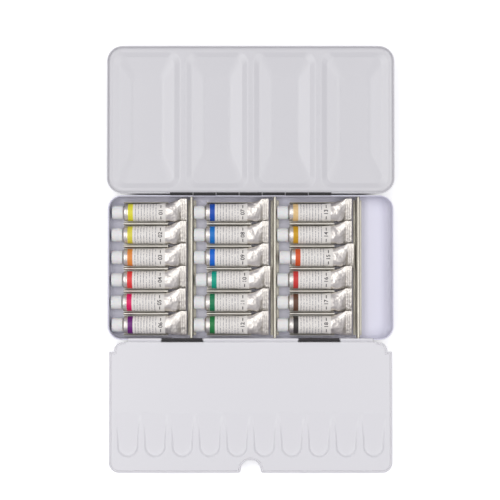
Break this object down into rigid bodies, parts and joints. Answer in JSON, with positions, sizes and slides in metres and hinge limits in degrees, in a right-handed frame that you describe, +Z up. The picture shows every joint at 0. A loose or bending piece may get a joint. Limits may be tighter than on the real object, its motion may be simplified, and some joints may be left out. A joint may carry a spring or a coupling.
{
  "type": "metal watercolour box",
  "caption": "Flat enamelled tin with paint tubes in cradles, a hinged lid with mixing wells and a fold-out mixing flap.",
  "frame": {"origin": "centre of the tray's underside", "axes": "+X to the right along the hinges, +Y to the back where the open lid lies, +Z up"},
  "size_m": [0.2498, 0.3705, 0.0204],
  "materials": {
    "white_enamel": "satin baked enamel inside, black outside on lid and tray",
    "hinge_wire": "drawn steel wire",
    "tinned_strip": "folded tinplate strip with a cream lacquer",
    "tube_aluminium": "soft rolled aluminium with a printed band",
    "cap_plastic": "moulded white, ribbed"
  },
  "bodies": {
    "root": {"tray_shell": "white_enamel", "lid_hinge_pin": "hinge_wire", "flap_hinge_pin": "hinge_wire", "tube_cradle_left": "tinned_strip", "tube_cradle_middle": "tinned_strip", "tube_cradle_right": "tinned_strip", "divider_left": "tinned_strip", "divider_middle": "tinned_strip", "divider_right": "tinned_strip"},
    "lid": {"lid_shell": "white_enamel"},
    "flap": {"mixing_flap": "white_enamel"},
    "tube_01": {"paint_tube_01": "tube_aluminium"},
    "cap_01": {"tube_cap_01": "cap_plastic"},
    "tube_02": {"paint_tube_02": "tube_aluminium"},
    "cap_02": {"tube_cap_02": "cap_plastic"},
    "tube_03": {"paint_tube_03": "tube_aluminium"},
    "cap_03": {"tube_cap_03": "cap_plastic"},
    "tube_04": {"paint_tube_04": "tube_aluminium"},
    "cap_04": {"tube_cap_04": "cap_plastic"},
    "tube_05": {"paint_tube_05": "tube_aluminium"},
    "cap_05": {"tube_cap_05": "cap_plastic"},
    "tube_06": {"paint_tube_06": "tube_aluminium"},
    "cap_06": {"tube_cap_06": "cap_plastic"},
    "tube_07": {"paint_tube_07": "tube_aluminium"},
    "cap_07": {"tube_cap_07": "cap_plastic"},
    "tube_08": {"paint_tube_08": "tube_aluminium"},
    "cap_08": {"tube_cap_08": "cap_plastic"},
    "tube_09": {"paint_tube_09": "tube_aluminium"},
    "cap_09": {"tube_cap_09": "cap_plastic"},
    "tube_10": {"paint_tube_10": "tube_aluminium"},
    "cap_10": {"tube_cap_10": "cap_plastic"},
    "tube_11": {"paint_tube_11": "tube_aluminium"},
    "cap_11": {"tube_cap_11": "cap_plastic"},
    "tube_12": {"paint_tube_12": "tube_aluminium"},
    "cap_12": {"tube_cap_12": "cap_plastic"},
    "tube_13": {"paint_tube_13": "tube_aluminium"},
    "cap_13": {"tube_cap_13": "cap_plastic"},
    "tube_14": {"paint_tube_14": "tube_aluminium"},
    "cap_14": {"tube_cap_14": "cap_plastic"},
    "tube_15": {"paint_tube_15": "tube_aluminium"},
    "cap_15": {"tube_cap_15": "cap_plastic"},
    "tube_16": {"paint_tube_16": "tube_aluminium"},
    "cap_16": {"tube_cap_16": "cap_plastic"},
    "tube_17": {"paint_tube_17": "tube_aluminium"},
    "cap_17": {"tube_cap_17": "cap_plastic"},
    "tube_18": {"paint_tube_18": "tube_aluminium"},
    "cap_18": {"tube_cap_18": "cap_plastic"}
  },
  "joints": [
    {"name": "lid_hinge", "type": "hinge", "parent": "root", "child": "lid", "pos_m": [0, 0.06381, 0.01905], "axis": [-1, 0, 0], "range_deg": [-180, 0]},
    {"name": "flap_hinge", "type": "hinge", "parent": "root", "child": "flap", "pos_m": [0, -0.06261, 0.01825], "axis": [1, 0, 0], "range_deg": [-180, 0]},
    {"name": "tube_tip_01", "type": "hinge", "parent": "root", "child": "tube_01", "pos_m": [-0.05825, 0.04815, 0.00865], "axis": [0, 1, 0], "range_deg": [0, 15]},
    {"name": "cap_turn_01", "type": "hinge", "parent": "tube_01", "child": "cap_01", "pos_m": [-0.11615, 0.04815, 0.00865], "axis": [-1, 0, 0], "range_deg": [0, 360]},
    {"name": "tube_tip_02", "type": "hinge", "parent": "root", "child": "tube_02", "pos_m": [-0.05865, 0.02853, 0.00865], "axis": [0, 1, 0], "range_deg": [0, 15]},
    {"name": "cap_turn_02", "type": "hinge", "parent": "tube_02", "child": "cap_02", "pos_m": [-0.11655, 0.02853, 0.00865], "axis": [-1, 0, 0], "range_deg": [0, 360]},
    {"name": "tube_tip_03", "type": "hinge", "parent": "root", "child": "tube_03", "pos_m": [-0.05865, 0.00891, 0.00865], "axis": [0, 1, 0], "range_deg": [0, 15]},
    {"name": "cap_turn_03", "type": "hinge", "parent": "tube_03", "child": "cap_03", "pos_m": [-0.11655, 0.00891, 0.00865], "axis": [-1, 0, 0], "range_deg": [0, 360]},
    {"name": "tube_tip_04", "type": "hinge", "parent": "root", "child": "tube_04", "pos_m": [-0.05885, -0.01071, 0.00865], "axis": [0, 1, 0], "range_deg": [0, 15]},
    {"name": "cap_turn_04", "type": "hinge", "parent": "tube_04", "child": "cap_04", "pos_m": [-0.11675, -0.01071, 0.00865], "axis": [-1, 0, 0], "range_deg": [0, 360]},
    {"name": "tube_tip_05", "type": "hinge", "parent": "root", "child": "tube_05", "pos_m": [-0.05925, -0.03033, 0.00865], "axis": [0, 1, 0], "range_deg": [0, 15]},
    {"name": "cap_turn_05", "type": "hinge", "parent": "tube_05", "child": "cap_05", "pos_m": [-0.11715, -0.03033, 0.00865], "axis": [-1, 0, 0], "range_deg": [0, 360]},
    {"name": "tube_tip_06", "type": "hinge", "parent": "root", "child": "tube_06", "pos_m": [-0.05835, -0.04995, 0.00865], "axis": [0, 1, 0], "range_deg": [0, 15]},
    {"name": "cap_turn_06", "type": "hinge", "parent": "tube_06", "child": "cap_06", "pos_m": [-0.11625, -0.04995, 0.00865], "axis": [-1, 0, 0], "range_deg": [0, 360]},
    {"name": "tube_tip_07", "type": "hinge", "parent": "root", "child": "tube_07", "pos_m": [0.01305, 0.04815, 0.00865], "axis": [0, 1, 0], "range_deg": [0, 15]},
    {"name": "cap_turn_07", "type": "hinge", "parent": "tube_07", "child": "cap_07", "pos_m": [-0.04485, 0.04815, 0.00865], "axis": [-1, 0, 0], "range_deg": [0, 360]},
    {"name": "tube_tip_08", "type": "hinge", "parent": "root", "child": "tube_08", "pos_m": [0.01305, 0.02853, 0.00865], "axis": [0, 1, 0], "range_deg": [0, 15]},
    {"name": "cap_turn_08", "type": "hinge", "parent": "tube_08", "child": "cap_08", "pos_m": [-0.04485, 0.02853, 0.00865], "axis": [-1, 0, 0], "range_deg": [0, 360]},
    {"name": "tube_tip_09", "type": "hinge", "parent": "root", "child": "tube_09", "pos_m": [0.01305, 0.00891, 0.00865], "axis": [0, 1, 0], "range_deg": [0, 15]},
    {"name": "cap_turn_09", "type": "hinge", "parent": "tube_09", "child": "cap_09", "pos_m": [-0.04485, 0.00891, 0.00865], "axis": [-1, 0, 0], "range_deg": [0, 360]},
    {"name": "tube_tip_10", "type": "hinge", "parent": "root", "child": "tube_10", "pos_m": [0.01465, -0.01071, 0.00865], "axis": [0, 1, 0], "range_deg": [0, 15]},
    {"name": "cap_turn_10", "type": "hinge", "parent": "tube_10", "child": "cap_10", "pos_m": [-0.04325, -0.01071, 0.00865], "axis": [-1, 0, 0], "range_deg": [0, 360]},
    {"name": "tube_tip_11", "type": "hinge", "parent": "root", "child": "tube_11", "pos_m": [0.01305, -0.03033, 0.00865], "axis": [0, 1, 0], "range_deg": [0, 15]},
    {"name": "cap_turn_11", "type": "hinge", "parent": "tube_11", "child": "cap_11", "pos_m": [-0.04485, -0.03033, 0.00865], "axis": [-1, 0, 0], "range_deg": [0, 360]},
    {"name": "tube_tip_12", "type": "hinge", "parent": "root", "child": "tube_12", "pos_m": [0.01305, -0.04995, 0.00865], "axis": [0, 1, 0], "range_deg": [0, 15]},
    {"name": "cap_turn_12", "type": "hinge", "parent": "tube_12", "child": "cap_12", "pos_m": [-0.04485, -0.04995, 0.00865], "axis": [-1, 0, 0], "range_deg": [0, 360]},
    {"name": "tube_tip_13", "type": "hinge", "parent": "root", "child": "tube_13", "pos_m": [0.08565, 0.04815, 0.00865], "axis": [0, 1, 0], "range_deg": [0, 15]},
    {"name": "cap_turn_13", "type": "hinge", "parent": "tube_13", "child": "cap_13", "pos_m": [0.02775, 0.04815, 0.00865], "axis": [-1, 0, 0], "range_deg": [0, 360]},
    {"name": "tube_tip_14", "type": "hinge", "parent": "root", "child": "tube_14", "pos_m": [0.08565, 0.02853, 0.00865], "axis": [0, 1, 0], "range_deg": [0, 15]},
    {"name": "cap_turn_14", "type": "hinge", "parent": "tube_14", "child": "cap_14", "pos_m": [0.02775, 0.02853, 0.00865], "axis": [-1, 0, 0], "range_deg": [0, 360]},
    {"name": "tube_tip_15", "type": "hinge", "parent": "root", "child": "tube_15", "pos_m": [0.08755, 0.00891, 0.00865], "axis": [0, 1, 0], "range_deg": [0, 15]},
    {"name": "cap_turn_15", "type": "hinge", "parent": "tube_15", "child": "cap_15", "pos_m": [0.02965, 0.00891, 0.00865], "axis": [-1, 0, 0], "range_deg": [0, 360]},
    {"name": "tube_tip_16", "type": "hinge", "parent": "root", "child": "tube_16", "pos_m": [0.08565, -0.01071, 0.00865], "axis": [0, 1, 0], "range_deg": [0, 15]},
    {"name": "cap_turn_16", "type": "hinge", "parent": "tube_16", "child": "cap_16", "pos_m": [0.02775, -0.01071, 0.00865], "axis": [-1, 0, 0], "range_deg": [0, 360]},
    {"name": "tube_tip_17", "type": "hinge", "parent": "root", "child": "tube_17", "pos_m": [0.08565, -0.03033, 0.00865], "axis": [0, 1, 0], "range_deg": [0, 15]},
    {"name": "cap_turn_17", "type": "hinge", "parent": "tube_17", "child": "cap_17", "pos_m": [0.02775, -0.03033, 0.00865], "axis": [-1, 0, 0], "range_deg": [0, 360]},
    {"name": "tube_tip_18", "type": "hinge", "parent": "root", "child": "tube_18", "pos_m": [0.08565, -0.04995, 0.00865], "axis": [0, 1, 0], "range_deg": [0, 15]},
    {"name": "cap_turn_18", "type": "hinge", "parent": "tube_18", "child": "cap_18", "pos_m": [0.02775, -0.04995, 0.00865], "axis": [-1, 0, 0], "range_deg": [0, 360]}
  ]
}
